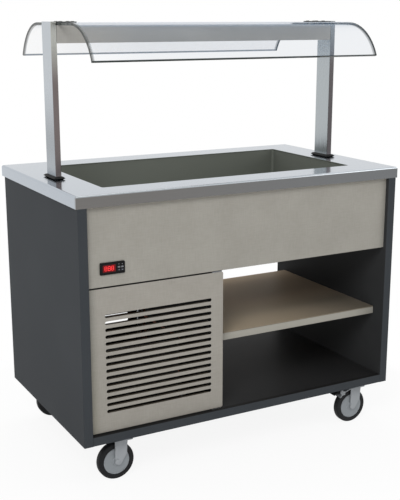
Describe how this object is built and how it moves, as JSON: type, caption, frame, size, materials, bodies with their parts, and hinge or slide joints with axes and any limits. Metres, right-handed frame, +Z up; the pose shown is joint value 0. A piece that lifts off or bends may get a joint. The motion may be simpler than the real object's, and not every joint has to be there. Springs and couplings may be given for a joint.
{
  "type": "mobile salad bar",
  "caption": "Mobile refrigerated salad bar with a steel well, bent clear food guard with light box, louvred machine door, open shelf bay and swivel casters.",
  "frame": {"origin": "on the floor under the middle of the worktop", "axes": "+Z up, +X to the right of someone who faces the louvred front, +Y to the rear"},
  "size_m": [1.2, 0.705, 1.4455],
  "materials": {
    "carcass_board": "dark grey laminate, satin",
    "inner_board": "dark grey laminate, satin",
    "beige_sheet": "coated steel sheet, fine linen texture",
    "shelf_board": "beige laminate, satin",
    "subframe_board": "plywood, plain",
    "stainless": "fine brushed",
    "tank_steel": "brushed, in shade",
    "foam": "closed-cell insulation foam",
    "copper": "bare copper tube",
    "brass": "cast and turned brass",
    "red_plastic": "dipped coating",
    "black_rubber": "matt black",
    "clear_sheet": "clear bent sheet",
    "lamp": "white fluorescent tube",
    "white_plastic": "satin white",
    "black_plastic": "fine grained black",
    "grey_plastic": "satin grey",
    "red_window": "tinted, glossy",
    "zinc_steel": "bright zinc plated",
    "black_metal": "black enamel",
    "tyre_rubber": "matt black rubber",
    "hub_plastic": "satin grey"
  },
  "bodies": {
    "cabinet": {"left_side_panel": "carcass_board", "right_side_panel": "carcass_board", "base_panel": "carcass_board", "partition_panel": "inner_board", "bay_ceiling_panel": "inner_board", "front_upper_panel": "beige_sheet", "rear_upper_panel": "beige_sheet", "rear_service_panel": "beige_sheet", "shelf": "shelf_board", "shelf_pins": "zinc_steel", "worktop_subframe": "subframe_board", "worktop": "stainless", "well_tank": "tank_steel", "well_insulation": "foam", "evaporator_coil": "copper", "drain_pipes": "stainless", "drain_valve": "brass", "left_post": "stainless", "right_post": "stainless", "post_collars": "black_rubber", "light_box": "beige_sheet", "lamp_tube": "lamp", "lamp_holders": "white_plastic", "lamp_diffuser": "white_plastic", "sneeze_guard": "clear_sheet", "guard_clamps": "zinc_steel", "controller_housing": "black_plastic", "controller_window": "red_window", "door_hardware": "zinc_steel", "unit_tray": "zinc_steel", "compressor": "black_metal", "terminal_box": "black_plastic", "condenser_coil": "black_metal", "fan_shroud": "black_metal", "fan_motor": "black_metal", "refrigerant_pipes": "copper", "cable_gland": "black_plastic", "caster_plates": "zinc_steel"},
    "louvred_door": {"louvred_door": "beige_sheet"},
    "fan": {"fan_blades": "black_plastic"},
    "drain_lever": {"drain_lever": "red_plastic"},
    "up_key": {"up_key": "grey_plastic"},
    "down_key": {"down_key": "grey_plastic"},
    "set_key": {"set_key": "grey_plastic"},
    "power_key": {"power_key": "grey_plastic"},
    "front_left_fork": {"front_left_fork": "zinc_steel"},
    "front_left_wheel": {"front_left_hub": "hub_plastic", "front_left_tyre": "tyre_rubber"},
    "front_right_fork": {"front_right_fork": "zinc_steel"},
    "front_right_wheel": {"front_right_hub": "hub_plastic", "front_right_tyre": "tyre_rubber"},
    "rear_left_fork": {"rear_left_fork": "zinc_steel"},
    "rear_left_wheel": {"rear_left_hub": "hub_plastic", "rear_left_tyre": "tyre_rubber"},
    "rear_right_fork": {"rear_right_fork": "zinc_steel"},
    "rear_right_wheel": {"rear_right_hub": "hub_plastic", "rear_right_tyre": "tyre_rubber"},
    "front_right_pedal": {"front_right_pedal": "black_plastic"},
    "rear_left_pedal": {"rear_left_pedal": "black_plastic"}
  },
  "joints": [
    {"name": "door_hinge", "type": "hinge", "parent": "cabinet", "child": "louvred_door", "pos_m": [-0.103, -0.328, 0.42], "axis": [0, 0, 1], "range_deg": [0, 100]},
    {"name": "fan_spin", "type": "hinge", "parent": "cabinet", "child": "fan", "pos_m": [-0.35675, -0.201, 0.307], "axis": [0, 1, 0], "continuous": true},
    {"name": "drain_lever_turn", "type": "hinge", "parent": "cabinet", "child": "drain_lever", "pos_m": [-0.139, 0.1565, 0.485], "axis": [0, -1, 0], "range_deg": [0, 90]},
    {"name": "up_key_press", "type": "slide", "parent": "cabinet", "child": "up_key", "axis": [0, 1, 0], "range_m": [0, 0.0006], "stiffness_N_per_m": 400},
    {"name": "down_key_press", "type": "slide", "parent": "cabinet", "child": "down_key", "axis": [0, 1, 0], "range_m": [0, 0.0006], "stiffness_N_per_m": 400},
    {"name": "power_key_press", "type": "slide", "parent": "cabinet", "child": "power_key", "axis": [0, 1, 0], "range_m": [0, 0.0006], "stiffness_N_per_m": 400},
    {"name": "set_key_press", "type": "slide", "parent": "cabinet", "child": "set_key", "axis": [0, 1, 0], "range_m": [0, 0.0006], "stiffness_N_per_m": 400},
    {"name": "front_left_swivel", "type": "hinge", "parent": "cabinet", "child": "front_left_fork", "pos_m": [-0.435, -0.29, 0.14], "axis": [0, 0, 1], "continuous": true},
    {"name": "front_left_roll", "type": "hinge", "parent": "front_left_fork", "child": "front_left_wheel", "pos_m": [-0.467, -0.29, 0.0625], "axis": [0, 1, 0], "continuous": true},
    {"name": "front_right_swivel", "type": "hinge", "parent": "cabinet", "child": "front_right_fork", "pos_m": [0.508, -0.29, 0.14], "axis": [0, 0, 1], "continuous": true},
    {"name": "front_right_roll", "type": "hinge", "parent": "front_right_fork", "child": "front_right_wheel", "pos_m": [0.476, -0.29, 0.0625], "axis": [0, 1, 0], "continuous": true},
    {"name": "rear_left_swivel", "type": "hinge", "parent": "cabinet", "child": "rear_left_fork", "pos_m": [-0.435, 0.288, 0.14], "axis": [0, 0, 1], "continuous": true},
    {"name": "rear_left_roll", "type": "hinge", "parent": "rear_left_fork", "child": "rear_left_wheel", "pos_m": [-0.467, 0.288, 0.0625], "axis": [0, 1, 0], "continuous": true},
    {"name": "rear_right_swivel", "type": "hinge", "parent": "cabinet", "child": "rear_right_fork", "pos_m": [0.508, 0.288, 0.14], "axis": [0, 0, 1], "continuous": true},
    {"name": "rear_right_roll", "type": "hinge", "parent": "rear_right_fork", "child": "rear_right_wheel", "pos_m": [0.476, 0.288, 0.0625], "axis": [0, 1, 0], "continuous": true},
    {"name": "front_right_brake", "type": "hinge", "parent": "front_right_fork", "child": "front_right_pedal", "pos_m": [0.429, -0.29, 0.126], "axis": [0, -1, 0], "range_deg": [0, 12]},
    {"name": "rear_left_brake", "type": "hinge", "parent": "rear_left_fork", "child": "rear_left_pedal", "pos_m": [-0.514, 0.288, 0.126], "axis": [0, -1, 0], "range_deg": [0, 12]}
  ]
}
